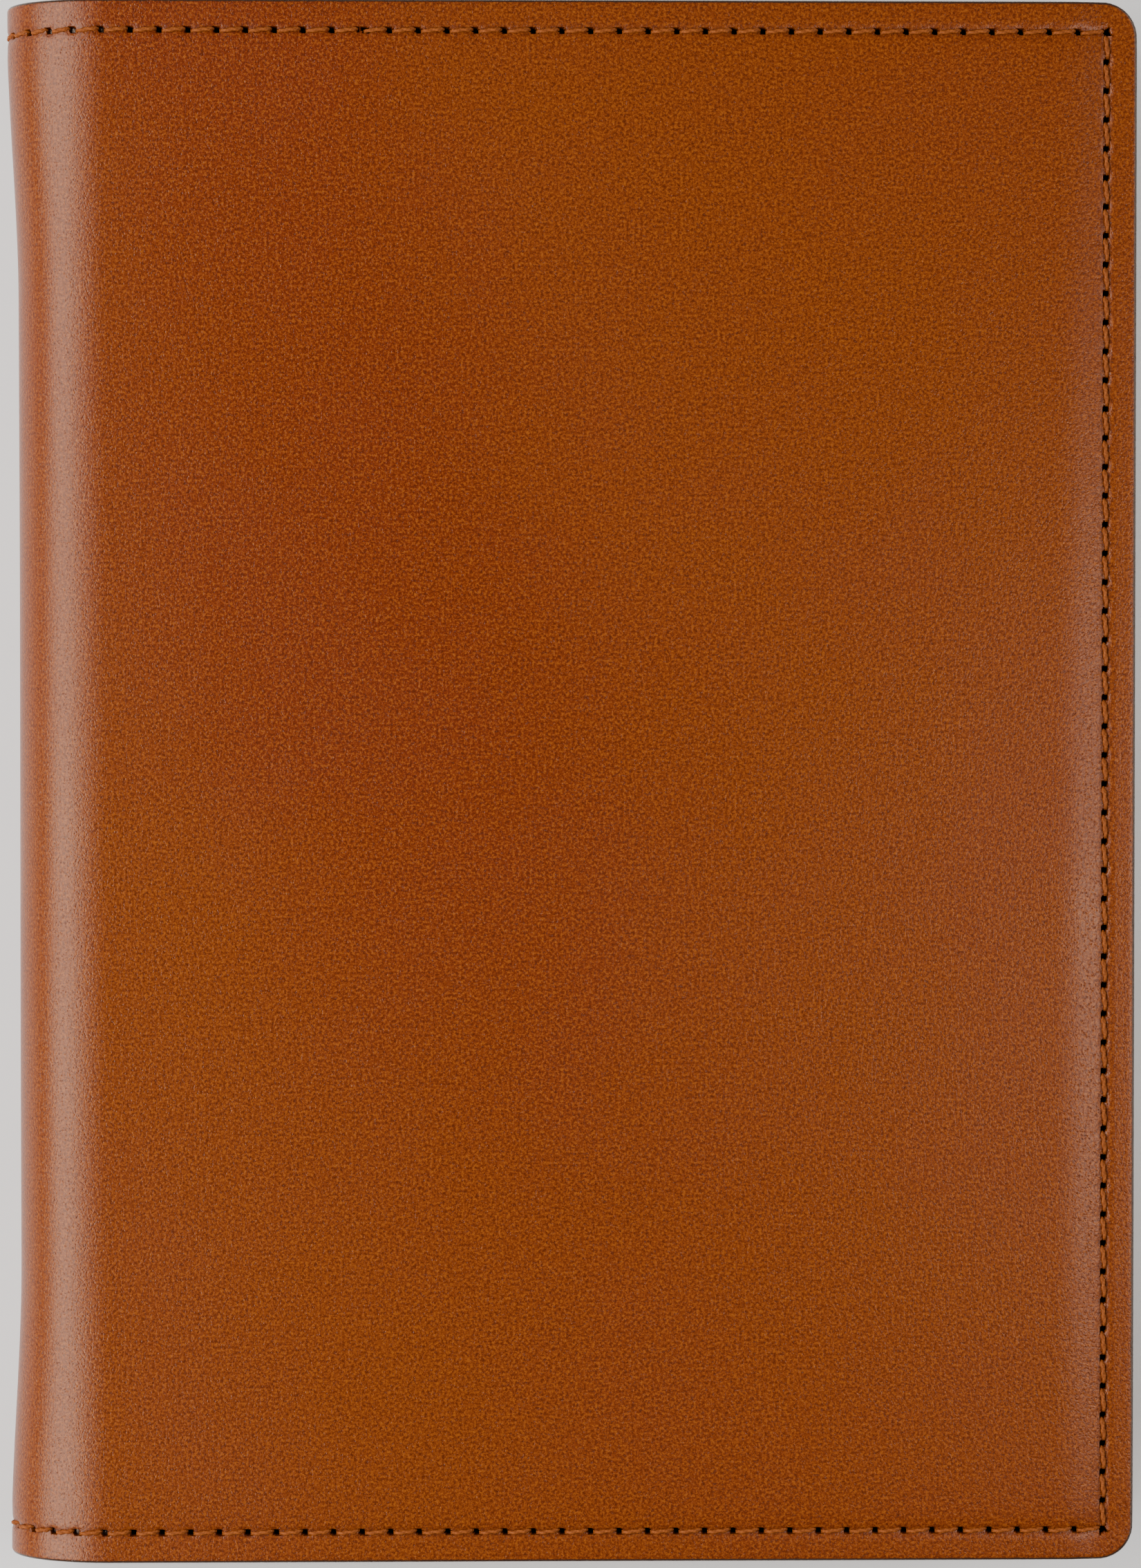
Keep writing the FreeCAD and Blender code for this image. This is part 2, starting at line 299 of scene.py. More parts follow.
def lines(low, high, step, low_fine=(), high_fine=()):
    """Grid lines between two edges, with finer ones given by their distance from each edge."""
    start = low + (low_fine[-1] if low_fine else 0)
    stop = high - (high_fine[-1] if high_fine else 0)
    count = max(1, round((stop - start) / step))
    middle = [start + (stop - start) * k / count for k in range(count + 1)]
    return ([low + gap for gap in low_fine[:-1]] + middle
            + [high - gap for gap in reversed(high_fine[:-1])])


EDGE_LINES = [gap * MM for gap in (0, 0.08, 0.22, 0.42, 0.62, 1.1, 2.1, 3.3, 4.3, 5.3, 7.2, 9.2)]
JOIN_LINES = [gap * MM for gap in (0, 0.05, 0.5)]
SLACK_LINES = [gap * MM for gap in (0, 0.7, 1.4, 2.1, 2.8, 3.4, 4.0, 4.6, 5.2, 6.0)]


def flat_sheet(name, u_lines, v_lines):
    """A flat grid whose lines stand at the given places."""
    deselect()
    bpy.ops.mesh.primitive_grid_add(x_subdivisions=len(u_lines) - 1,
                                    y_subdivisions=len(v_lines) - 1, size=1)
    piece = bpy.context.object
    piece.name = name
    piece.data.name = name
    grid = points(piece)
    column = np.rint((grid[:, 0] + 0.5) * (len(u_lines) - 1)).astype(int)
    row = np.rint((grid[:, 1] + 0.5) * (len(v_lines) - 1)).astype(int)
    grid[:, 0] = np.array(u_lines)[column]
    grid[:, 1] = np.array(v_lines)[row]
    set_points(piece, grid)
    return piece


def round_sheet_corners(piece, fore_u, side, setback, radius):
    """Round the two fore-edge corners of a flat grid. side is 1 for the front, -1 for the back."""
    grid = points(piece)
    inner = radius - setback
    p = (side * (grid[:, 0] - fore_u) + setback + inner) / inner
    q = (np.abs(grid[:, 1]) - (HALF_TALL - radius)) / inner
    corner = (p > 1e-6) & (q > 1e-6)
    m = np.maximum(p, q)
    small = np.minimum(p, q) / np.maximum(m, 1e-9)
    angle = np.where(p >= q, small * math.pi / 4, math.pi / 2 - small * math.pi / 4)
    across = fore_u + side * (-setback - inner + inner * m * np.cos(angle))
    grid[:, 0] = np.where(corner, across, grid[:, 0])
    up = (HALF_TALL - radius + inner * m * np.sin(angle)) * np.sign(grid[:, 1])
    grid[:, 1] = np.where(corner, up, grid[:, 1])
    set_points(piece, grid)


def refine_near_seam(piece, seam, widths):
    """Subdivide the faces within each distance of the seam line, one round for each."""
    activate(piece)
    bpy.ops.object.mode_set(mode="EDIT")
    bpy.ops.mesh.select_mode(type="FACE")
    for width in widths:
        mesh = bmesh.from_edit_mesh(piece.data)
        centres = np.array([face.calc_center_median()[:2] for face in mesh.faces])
        near = seam.gap(centres[:, 0], centres[:, 1]) < width
        for face, chosen in zip(mesh.faces, near):
            face.select = bool(chosen)
        mesh.select_flush_mode()
        bmesh.update_edit_mesh(piece.data)
        bpy.ops.mesh.subdivide(number_cuts=1)
    bpy.ops.object.mode_set(mode="OBJECT")


def thicken(piece, thickness):
    apply_modifier(piece, "SOLIDIFY", thickness=thickness, offset=-1.0)


def finish_piece(piece, material, nodes, body=None, smooth_angle=40):
    """Shading, material, slot, and the CAD nodes and body that the piece goes with."""
    activate(piece)
    bpy.ops.object.shade_smooth_by_angle(angle=math.radians(smooth_angle))
    piece.data.materials.clear()
    piece.data.materials.append(material)
    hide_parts(*nodes)
    if body is not None:
        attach(piece, body)


def bend_over_fold(piece):
    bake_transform(piece)


# ---- materials ----------------------------------------------------------------------------

def new_group(name, inputs, outputs):
    group = bpy.data.node_groups.new(name, "ShaderNodeTree")
    for socket, kind, value in inputs:
        made = group.interface.new_socket(socket, in_out="INPUT", socket_type=kind)
        if value is not None:
            made.default_value = value
    for socket, kind in outputs:
        group.interface.new_socket(socket, in_out="OUTPUT", socket_type=kind)
    return group, group.nodes.new("NodeGroupInput"), group.nodes.new("NodeGroupOutput")


class Tree:
    """Short calls for the nodes of one material or group."""

    def __init__(self, tree):
        self.tree = tree

    def node(self, kind, **values):
        made = self.tree.nodes.new("ShaderNode" + kind)
        for name, value in values.items():
            setattr(made, name, value)
        return made

    def put(self, value, socket):
        if isinstance(value, bpy.types.NodeSocket):
            self.tree.links.new(value, socket)
        else:
            socket.default_value = value

    def math(self, operation, a, b=0.0, c=0.0):
        made = self.node("Math", operation=operation)
        for value, socket in zip((a, b, c), made.inputs):
            self.put(value, socket)
        return made.outputs[0]

    def noise(self, place, scale, detail=2.0, roughness=0.5, distortion=0.0):
        made = self.node("TexNoise")
        for name, value in (("Vector", place), ("Scale", scale), ("Detail", detail),
                            ("Roughness", roughness), ("Distortion", distortion)):
            self.put(value, made.inputs[name])
        return made.outputs["Fac"]

    def cells(self, place, scale, feature="F1"):
        made = self.node("TexVoronoi", feature=feature)
        self.put(place, made.inputs["Vector"])
        self.put(scale, made.inputs["Scale"])
        return made.outputs["Distance"]

    def span(self, value, low, high, to_low=0.0, to_high=1.0):
        """Map a range smoothly onto another."""
        made = self.node("MapRange", interpolation_type="SMOOTHSTEP")
        for socket, number in zip(made.inputs, (value, low, high, to_low, to_high)):
            self.put(number, socket)
        return made.outputs[0]

    def mix(self, share, a, b):
        made = self.node("Mix", data_type="RGBA")
        self.put(share, made.inputs["Factor"])
        self.put(a, made.inputs[6])
        self.put(b, made.inputs[7])
        return made.outputs[2]

    def attribute(self, name, vector=False):
        made = self.node("Attribute", attribute_name=name)
        return made.outputs["Vector" if vector else "Fac"]

    def stretched(self, place, scale, turn=0.0):
        made = self.node("Mapping")
        self.put(place, made.inputs["Vector"])
        made.inputs["Scale"].default_value = scale
        made.inputs["Rotation"].default_value = (0, 0, turn)
        return made.outputs["Vector"]

    def use(self, group, **inputs):
        made = self.node("Group")
        made.node_tree = group
        for name, value in inputs.items():
            self.put(value, made.inputs[name])
        return made.outputs


def colour(values):
    return (values[0], values[1], values[2], 1.0)


def grain_group():
    """Pores, fine creases and dye mottling of full-grain leather, from a place in metres."""
    group, given, result = new_group(
        "Leather grain",
        [("Place", "NodeSocketVector", None), ("Pore size", "NodeSocketFloat", 0.45)],
        [("Height", "NodeSocketFloat"), ("Pores", "NodeSocketFloat"),
         ("Mottle", "NodeSocketFloat"), ("Speckle", "NodeSocketFloat")])
    t = Tree(group)
    place = given.outputs["Place"]
    density = t.math("DIVIDE", 1000.0, given.outputs["Pore size"])
    pores = t.cells(place, density)
    pore_pit = t.span(pores, 0.0, 0.42, 0.0, 1.0)
    cracks = t.cells(t.stretched(place, (1.0, 0.62, 1.0), 0.6), t.math("MULTIPLY", density, 0.55),
                     feature="DISTANCE_TO_EDGE")
    crease = t.span(cracks, 0.0, 0.10)
    fibre = t.noise(place, t.math("MULTIPLY", density, 1.1), 3.0, 0.6)
    broad = t.noise(place, 160.0, 3.0, 0.55)
    rows = t.math("MULTIPLY", pore_pit, 0.42)
    rows = t.math("MULTIPLY_ADD", crease, 0.14, rows)
    rows = t.math("MULTIPLY_ADD", fibre, 0.55, rows)
    height = t.math("MULTIPLY_ADD", broad, 0.9, rows)
    mottle = t.noise(place, 24.0, 5.0, 0.56, 0.35)
    speckle = t.noise(place, 2500.0, 4.0, 0.80, 0.3)
    for value, name in ((height, "Height"), (pore_pit, "Pores"), (mottle, "Mottle"),
                        (speckle, "Speckle")):
        t.put(value, result.inputs[name])
    return group


def fibre_group():
    """Loose fibres, for lining, paper, board and cloth."""
    group, given, result = new_group(
        "Fibres",
        [("Place", "NodeSocketVector", None), ("Fibres a metre", "NodeSocketFloat", 900.0)],
        [("Height", "NodeSocketFloat"), ("Tone", "NodeSocketFloat")])
    t = Tree(group)
    place, density = given.outputs["Place"], given.outputs["Fibres a metre"]
    long_way = t.noise(t.stretched(place, (1.0, 0.22, 1.0), 0.35), density, 4.0, 0.65, 0.6)
    cross = t.noise(t.stretched(place, (0.25, 1.0, 1.0), -0.5), density, 3.0, 0.6, 0.4)
    t.put(t.math("ADD", long_way, cross), result.inputs["Height"])
    t.put(t.noise(place, 45.0, 5.0, 0.6), result.inputs["Tone"])
    return group


def new_material(name, specular, sheen=0.0):
    material = bpy.data.materials.new(name)
    material.use_nodes = True
    shader = material.node_tree.nodes["Principled BSDF"]
    shader.inputs["Specular IOR Level"].default_value = specular
    shader.inputs["Sheen Weight"].default_value = sheen
    return material, Tree(material.node_tree), shader


def bump(t, shader, height, distance):
    made = t.node("Bump")
    made.inputs["Distance"].default_value = distance
    made.inputs["Strength"].default_value = 1.0
    t.put(height, made.inputs["Height"])
    t.put(made.outputs["Normal"], shader.inputs["Normal"])


def leather_material(settings, groups):
    """Smooth tan leather with dyed, burnished edges, and painted shade along the sunk seam lines
    and in the needle holes.
    """
    material, t, shader = new_material("Tan leather", specular=0.5)
    shader.inputs["Specular Tint"].default_value = (1.0, 0.78, 0.64, 1)
    place = t.attribute("hide_place", vector=True)
    grain = t.use(groups["grain"], Place=place)
    split = t.node("SeparateXYZ")
    t.put(place, split.inputs[0])
    across, along = split.outputs[0], split.outputs[1]
    warp = t.noise(place, 16.0, 4.0, 0.55, 0.5)
    slope = t.math("MULTIPLY_ADD", along, 0.30, across)
    slope = t.math("MULTIPLY_ADD", warp, 0.060, slope)
    patch = t.math("ABSOLUTE", t.math("ADD", slope, -0.010))
    patch = t.span(patch, 0.004, 0.048, 1.0, 0.0)
    faded = t.span(along, -0.085, 0.02, 0.15, 1.0)
    patch = t.math("MULTIPLY", patch, faded)
    share = t.span(grain["Mottle"], 0.30, 0.72)
    share = t.math("MULTIPLY_ADD", patch, 0.75, t.math("MULTIPLY", share, 0.42))
    tan = t.mix(share, colour(settings.light_tan), colour(settings.deep_tan))
    bright = t.span(grain["Speckle"], 0.49, 0.62, 0.0, 0.85)
    tan = t.mix(bright, tan, (0.29, 0.076, 0.008, 1))
    dark = t.span(grain["Speckle"], 0.38, 0.51, 0.85, 0.0)
    tan = t.mix(dark, tan, (0.070, 0.0095, 0.0005, 1))
    pore = t.math("MULTIPLY_ADD", grain["Pores"], -0.42, 0.42)
    tan = t.mix(pore, tan, (0.040, 0.007, 0.001, 1))
    # painted shade: the leather is darkened along the sunk seam line
    line = t.span(t.attribute("seam_gap"), 0.0, 1.0, 0.38, 0.0)
    tan = t.mix(line, tan, (0.06, 0.010, 0.001, 1))
    # painted shade: near-black inside the needle holes
    tan = t.mix(t.attribute("needle_hole"), tan, (0.004, 0.002, 0.002, 1))
    worn = t.noise(place, 420.0, 3.0, 0.6)
    rim = t.math("MULTIPLY_ADD", worn, 0.30, t.attribute("rim_gap"))
    dye = t.span(rim, 0.42, 0.62, 1.0, 0.0)
    t.put(t.mix(dye, tan, colour(settings.edge_dye)), shader.inputs["Base Color"])
    rough = t.span(grain["Mottle"], 0.3, 0.7, 0.30, 0.35)
    t.put(t.math("MULTIPLY_ADD", dye, -0.08, rough), shader.inputs["Roughness"])
    bump(t, shader, grain["Height"], 0.060 * MM)
    return material


def sleeve_material(settings, groups):
    material, t, shader = new_material("Sleeve leather", specular=0.45)
    place = t.attribute("hide_place", vector=True)
    grain = t.use(groups["grain"], Place=place, **{"Pore size": 0.55})
    share = t.span(grain["Mottle"], 0.32, 0.70)
    tan = t.mix(share, (0.175, 0.036, 0.0035, 1), (0.140, 0.0215, 0.0010, 1))
    pore = t.math("MULTIPLY_ADD", grain["Pores"], -0.30, 0.30)
    tan = t.mix(pore, tan, (0.07, 0.018, 0.004, 1))
    # painted shade: the sleeve is darkened along the pressed seam line
    line = t.span(t.attribute("seam_gap"), 0.0, 1.0, 0.45, 0.0)
    tan = t.mix(line, tan, (0.10, 0.022, 0.005, 1))
    # painted shade: near-black inside the needle holes
    tan = t.mix(t.attribute("needle_hole"), tan, (0.004, 0.002, 0.002, 1))
    dye = t.span(t.attribute("rim_gap"), 0.30, 0.55, 1.0, 0.0)
    t.put(t.mix(dye, tan, colour(settings.edge_dye)), shader.inputs["Base Color"])
    t.put(t.span(grain["Mottle"], 0.3, 0.7, 0.42, 0.54), shader.inputs["Roughness"])
    bump(t, shader, grain["Height"], 0.06 * MM)
    return material


def lining_material(settings, groups):
    material, t, shader = new_material("Split lining", specular=0.25, sheen=0.25)
    place = t.attribute("hide_place", vector=True)
    fibres = t.use(groups["fibres"], Place=place, **{"Fibres a metre": 1300.0})
    base = colour(settings.lining_colour)
    tone = t.span(fibres["Tone"], 0.3, 0.7)
    tan = t.mix(tone, base, (0.20, 0.078, 0.024, 1))
    nap = t.span(fibres["Height"], 0.75, 1.25, 0.0, 0.45)
    tan = t.mix(nap, tan, (0.34, 0.165, 0.065, 1))
    # painted shade: the lining is darkened along the pressed seam line
    line = t.span(t.attribute("seam_gap"), 0.0, 1.1, 0.5, 0.0)
    tan = t.mix(line, tan, (0.14, 0.055, 0.02, 1))
    # painted shade: near-black inside the needle holes
    tan = t.mix(t.attribute("needle_hole"), tan, (0.006, 0.003, 0.002, 1))
    t.put(tan, shader.inputs["Base Color"])
    t.put(t.span(fibres["Height"], 0.7, 1.3, 0.78, 0.9), shader.inputs["Roughness"])
    bump(t, shader, fibres["Height"], 0.09 * MM)
    return material


def thread_material(settings, groups):
    """Waxed linen: fine fibres along the twist, painted shade in the hollows between the plies."""
    material, t, shader = new_material("Linen thread", specular=0.12)
    place = t.attribute("hide_place", vector=True)
    fibres = t.use(groups["fibres"], Place=place, **{"Fibres a metre": 6000.0})
    ply_shade = t.attribute("ply_hollow")
    base = t.mix(t.span(fibres["Height"], 0.8, 1.2), colour(settings.thread_colour),
                 (0.24, 0.060, 0.010, 1))
    # painted shade darkens the hollows between the plies
    t.put(t.mix(ply_shade, base, (0.10, 0.022, 0.003, 1)), shader.inputs["Base Color"])
    t.put(t.span(fibres["Height"], 0.8, 1.2, 0.5, 0.68), shader.inputs["Roughness"])
    bump(t, shader, fibres["Height"], 0.03 * MM)
    return material


def paper_material(settings, groups):
    material, t, shader = new_material("Cream paper", specular=0.3)
    where = t.node("TexCoord").outputs["Object"]
    fibres = t.use(groups["fibres"], Place=where, **{"Fibres a metre": 1500.0})
    cream = colour(settings.paper_colour)
    tone = t.math("MULTIPLY", t.span(fibres["Tone"], 0.3, 0.7), 0.12)
    paper = t.mix(tone, cream, (0.70, 0.63, 0.50, 1))
    split = t.node("SeparateXYZ")
    t.put(where, split.inputs[0])
    # painted shade between the leaves: the fore and head edges of the pages darken in fine
    # streaks, layer on layer
    leaf = t.noise(t.stretched(where, (0.05, 0.05, 1.0)), 9000.0, 2.0, 0.5)
    low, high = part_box("signature_1")
    fore = t.span(split.outputs[0], high.x - 0.5 * MM, high.x - 0.2 * MM)
    head = t.span(t.math("ABSOLUTE", split.outputs[1]), high.y - 0.4 * MM, high.y - 0.15 * MM)
    edge = t.math("MULTIPLY", t.math("MAXIMUM", fore, head), 0.5)
    paper = t.mix(t.math("MULTIPLY", edge, t.span(leaf, 0.35, 0.65)), paper,
                  (0.42, 0.36, 0.27, 1))
    t.put(paper, shader.inputs["Base Color"])
    t.put(t.span(fibres["Height"], 0.7, 1.3, 0.80, 0.92), shader.inputs["Roughness"])
    bump(t, shader, fibres["Height"], 0.02 * MM)
    return material


def cloth_material(name, base, deep, threads, groups):
    """Plain-woven cloth or cloth-grained card, with painted shade in the hollows of the weave."""
    material, t, shader = new_material(name, specular=0.25, sheen=0.2)
    where = t.node("TexCoord").outputs["Object"]
    fibres = t.use(groups["fibres"], Place=where, **{"Fibres a metre": 3000.0})
    split = t.node("SeparateXYZ")
    t.put(where, split.inputs[0])
    height = t.math("MULTIPLY", fibres["Height"], 0.3)
    for axis in split.outputs:
        wave = t.math("SINE", t.math("MULTIPLY", axis, threads * math.tau))
        height = t.math("MULTIPLY_ADD", wave, 0.25, height)
    # painted shade: deep colours the low hollows of the weave, base the raised threads
    tone = t.span(height, -0.3, 0.7)
    t.put(t.mix(tone, colour(deep), colour(base)), shader.inputs["Base Color"])
    t.put(t.span(fibres["Tone"], 0.3, 0.7, 0.70, 0.85), shader.inputs["Roughness"])
    bump(t, shader, height, 0.05 * MM)
    return material


def board_material(groups):
    material, t, shader = new_material("Fibre board", specular=0.2)
    where = t.node("TexCoord").outputs["Object"]
    fibres = t.use(groups["fibres"], Place=where, **{"Fibres a metre": 700.0})
    t.put(t.mix(t.span(fibres["Height"], 0.7, 1.3), (0.16, 0.11, 0.07, 1), (0.30, 0.22, 0.15, 1)),
          shader.inputs["Base Color"])
    t.put(t.span(fibres["Tone"], 0.3, 0.7, 0.8, 0.92), shader.inputs["Roughness"])
    bump(t, shader, fibres["Height"], 0.06 * MM)
    return material


def floor_material(groups):
    material, t, shader = new_material("Pale table", specular=0.2)
    where = t.node("TexCoord").outputs["Object"]
    fibres = t.use(groups["fibres"], Place=where, **{"Fibres a metre": 60.0})
    t.put(t.mix(t.span(fibres["Tone"], 0.3, 0.7), (0.90, 0.90, 0.90, 1), (0.88, 0.88, 0.88, 1)),
          shader.inputs["Base Color"])
    t.put(t.span(fibres["Tone"], 0.3, 0.7, 0.75, 0.85), shader.inputs["Roughness"])
    return material


def materials():
    """All materials, made once and then looked up."""
    if "Tan leather" not in bpy.data.materials:
        settings = bpy.context.scene.cover_settings
        groups = {"grain": grain_group(), "fibres": fibre_group()}
        leather_material(settings, groups)
        sleeve_material(settings, groups)
        lining_material(settings, groups)
        thread_material(settings, groups)
        paper_material(settings, groups)
        # the second colour of each cloth is the painted shade in the hollows of its weave
        cloth_material("Black card", (0.022, 0.019, 0.017), (0.010, 0.009, 0.008), 900, groups)
        cloth_material("Binding cloth", (0.10, 0.07, 0.05), (0.035, 0.024, 0.017), 1400, groups)
        board_material(groups)
        floor_material(groups)
    return bpy.data.materials


# ---- the pieces ---------------------------------------------------------------------------

def piece_span(number):
    """Where hide piece 1 to 6 starts and ends on the hide; piece 6 holds the front cover."""
    low = BACK_FORE if number == 1 else SPINE_X - CURVE + FOLD * (number - 1)
    high = FORE if number == STRIPS + 1 else SPINE_X - CURVE + FOLD * number
    return low, high


def hide_pieces(kind, node):
    """Number, name and CAD nodes of pieces 1 to 6. The CAD has seven, so piece 5 takes two."""
    names = ["spine_%s_%d" % (kind, k) for k in range(1, STRIPS)]
    strips = ["spine_%s_%d" % (node, k) for k in range(1, STRIPS + 1)]
    nodes = [[strip] for strip in strips[:-2]] + [strips[-2:]]
    return zip(range(1, STRIPS + 2), ["back_" + kind] + names + ["front_" + kind],
               [["back_" + node]] + nodes + [["front_" + node]])


def skin_lines(number, setback):
    """Grid lines for one piece of hide or lining, fine at cut edges, folds and joins."""
    low, high = piece_span(number)
    edge = [gap + setback for gap in EDGE_LINES if gap + setback < 9.5 * MM]
    curve_step = 0.65 * MM
    if number == 1:
        flat = lines(low, BACK_START, 2 * MM, low_fine=edge, high_fine=SLACK_LINES)
        return flat[:-1] + lines(BACK_START, high, curve_step, high_fine=JOIN_LINES)
    if number == STRIPS + 1:
        curved = lines(low, SPINE_X, curve_step, low_fine=JOIN_LINES)
        return curved[:-1] + lines(SPINE_X, high, 2 * MM, low_fine=SLACK_LINES, high_fine=edge)
    return lines(low, high, curve_step, low_fine=JOIN_LINES, high_fine=JOIN_LINES)


def make_skin(name, number, seam, radius, thickness, setback, widths, outer, inner):
    """One piece of hide or lining. outer and inner give the heights of its two faces."""
    edge = [gap + setback for gap in EDGE_LINES]
    v_lines = lines(-HALF_TALL, HALF_TALL, 2 * MM, low_fine=edge, high_fine=edge)
    piece = flat_sheet(name, skin_lines(number, setback), v_lines)
    if number == 1:
        round_sheet_corners(piece, BACK_FORE, -1, setback, radius)
    if number == STRIPS + 1:
        round_sheet_corners(piece, FORE, 1, setback, radius)
    refine_near_seam(piece, seam, widths)
    thicken(piece, thickness)
    flat = points(piece)
    u, v, top = flat[:, 0], flat[:, 1], flat[:, 2] > -thickness / 2
    lift = np.where(top, outer(u, v), inner(u, v))
    set_points(piece, wrap(u, v, lift))
    keep_place(piece, np.stack([u, v, np.where(top, 0, -thickness)], axis=1))
    # seam_gap and needle_hole are the masks for the painted shade along the seam line and in the
    # needle holes
    keep_value(piece, "seam_gap", seam.gap(u, v) / MM)
    gap = rim_gap(u, v, radius)
    keep_value(piece, "rim_gap", np.where(top, gap, 0) / MM)
    keep_value(piece, "needle_hole", needle_hole(*seam.nearest_hole(u, v)) * (lift < 0))
    return piece


def lining_rise(u, v):
    """How far the lining is lifted by the board under it."""
    inside = np.minimum(fore_gap(u), HALF_TALL - np.abs(v))
    on_panel = np.maximum(u - SPINE_X, BACK_START - u)
    return (0.8 * MM * smooth(7.0 * MM, 8.2 * MM, inside) * smooth(3.4 * MM, 4.6 * MM, on_panel))


def build_hides(settings):
    seam = Seam(settings)
    radius = settings.corner_radius
    leather = materials()["Tan leather"]
    for number, name, stands_for in hide_pieces("hide", "leather"):
        piece = make_skin(name, number, seam, radius, LEATHER, 0, (2 * MM, 1.2 * MM, 0.7 * MM),
                          lambda u, v: hide_lift(u, v, seam, radius),
                          lambda u, v: np.full(len(u), -LEATHER))
        finish_piece(piece, leather, stands_for)
        bend_over_fold(piece)


def build_linings(settings):
    seam = Seam(settings)
    radius = settings.corner_radius
    split = materials()["Split lining"]

    def inner(u, v):
        hole = 0.2 * MM * needle_hole(*seam.nearest_hole(u, v))
        press = 0.12 * MM * np.exp(-(seam.gap(u, v) / (0.6 * MM)) ** 2)
        return -LEATHER - LINING - lining_rise(u, v) + press + hole

    for number, name, stands_for in hide_pieces("inner", "lining"):
        piece = make_skin(name, number, seam, radius, LINING, 0.4 * MM, (1.2 * MM,),
                          lambda u, v: -LEATHER - lining_rise(u, v), inner)
        finish_piece(piece, split, stands_for)
        bend_over_fold(piece)


def build_sleeves(settings):
    """Two pockets, each a sheet that drops from its puffed middle to the sewn rim."""
    seam = Seam(settings)
    radius = settings.corner_radius
    setback = 0.4 * MM
    pocket = SLEEVE_FACE - RIM_SLEEVE_FACE
    for side, body in (("front", "front_cover"), ("back", "back_cover")):
        front = side == "front"
        fore = FORE if front else BACK_FORE
        mouth = SLEEVE_START if front else BACK_FORE + FORE - SLEEVE_START
        edge = [gap + setback for gap in EDGE_LINES]
        mouth_lines = [gap * MM for gap in (0, 0.1, 0.3, 0.6, 1.2)]
        v_lines = lines(-HALF_TALL, HALF_TALL, 2 * MM, low_fine=edge, high_fine=edge)
        if front:
            u_lines = lines(mouth, fore, 2 * MM, low_fine=mouth_lines, high_fine=edge)
        else:
            u_lines = lines(fore, mouth, 2 * MM, low_fine=edge, high_fine=mouth_lines)
        piece = flat_sheet(side + "_pocket", u_lines, v_lines)
        round_sheet_corners(piece, fore, 1 if front else -1, setback, radius)
        refine_near_seam(piece, seam, (1.6 * MM, 1.0 * MM))
        thicken(piece, SLEEVE)
        flat = points(piece)
        u, v, top = flat[:, 0], flat[:, 1], flat[:, 2] > -SLEEVE / 2
        rise = pocket * (smooth(6.0 * MM, 7.2 * MM, fore_gap(u))
                         * smooth(4.9 * MM, 5.8 * MM, HALF_TALL - np.abs(v)))
        press = 0.15 * MM * np.exp(-(seam.gap(u, v) / (0.6 * MM)) ** 2)
        hole = needle_hole(*seam.nearest_hole(u, v))
        from_mouth = np.abs(u - mouth)
        soften = 0.22 * MM * np.clip(1 - from_mouth / (0.6 * MM), 0, 1) ** 2
        outer = -RIM_LINING_FACE - rise - soften * 0.6
        inner = -RIM_SLEEVE_FACE - rise + press + soften + 0.45 * MM * hole
        set_points(piece, wrap(u, v, np.where(top, outer, inner)))
        keep_place(piece, np.stack([u, v + 0.5, np.zeros(len(u))], axis=1))
        # seam_gap and needle_hole are the masks for the painted shade along the seam line and in
        # the needle holes
        keep_value(piece, "seam_gap", seam.gap(u, v) / MM)
        gap = np.minimum(rim_gap(u, v, radius) - setback, from_mouth)
        keep_value(piece, "rim_gap", np.where(top, 0.4 * MM, gap) / MM)
        keep_value(piece, "needle_hole", np.where(top, 0, hole))
        finish_piece(piece, materials()["Sleeve leather"], [side + "_sleeve"], body)


def new_stitch(name, length, width):
    """One stitch of two-ply thread along X, its ends dipping into the needle holes."""
    deselect()
    bpy.ops.mesh.primitive_cylinder_add(vertices=8, radius=0.5, depth=1, location=(0, 0, 0),
                                        rotation=(0, math.pi / 2, 0))
    stitch = bpy.context.object
    stitch.name = name
    bpy.ops.object.transform_apply(location=True, rotation=True, scale=True)
    bpy.ops.object.mode_set(mode="EDIT")
    rings = 9
    for cut in range(1, rings):
        bpy.ops.mesh.select_all(action="SELECT")
        bpy.ops.mesh.bisect(plane_co=(cut / rings - 0.5, 0, 0), plane_no=(1, 0, 0))
    bpy.ops.object.mode_set(mode="OBJECT")
    raw = points(stitch)
    along = raw[:, 0] + 0.5
    angle = np.arctan2(raw[:, 2], raw[:, 1])
    ply = angle - along * math.tau * 1.25
    lobes = 0.80 + 0.20 * np.cos(2 * ply)
    pinch = 1 - 0.30 * np.abs(2 * along - 1) ** 4
    reach = width / 2 * lobes * pinch
    dip = -0.62 * MM * np.abs(2 * along - 1) ** 5
    slant = 0.20 * MM * (2 * along - 1)
    run = (0.09 + 0.82 * along) * length
    set_points(stitch, np.stack([run, reach * np.cos(angle) + slant,
                                 reach * np.sin(angle) * 0.85 + dip], axis=1))
    # ply_hollow marks the hollows between the plies, where the thread material paints shade
    keep_value(stitch, "ply_hollow", np.clip(0.5 - 0.5 * np.cos(2 * ply), 0, 1) ** 2 * 0.8)
    return stitch


def stitch_row(name, start, step, count, width, inward, edge_v=None, edge_u=None):
    """Stitches laid out flat along u, or along v where edge_u is given."""
    stitch = new_stitch(name, step, width)
    apply_modifier(stitch, "ARRAY", count=count, use_relative_offset=False,
                   use_constant_offset=True, constant_offset_displace=(step, 0, 0))
    flat = points(stitch)
    if inward:
        flat[:, 2] *= -1
    if edge_u is None:
        u, v = start + flat[:, 0], edge_v + flat[:, 1]
    else:
        u, v = edge_u - flat[:, 1], start + flat[:, 0]
    set_points(stitch, np.stack([u, v, flat[:, 2]], axis=1))
    return stitch


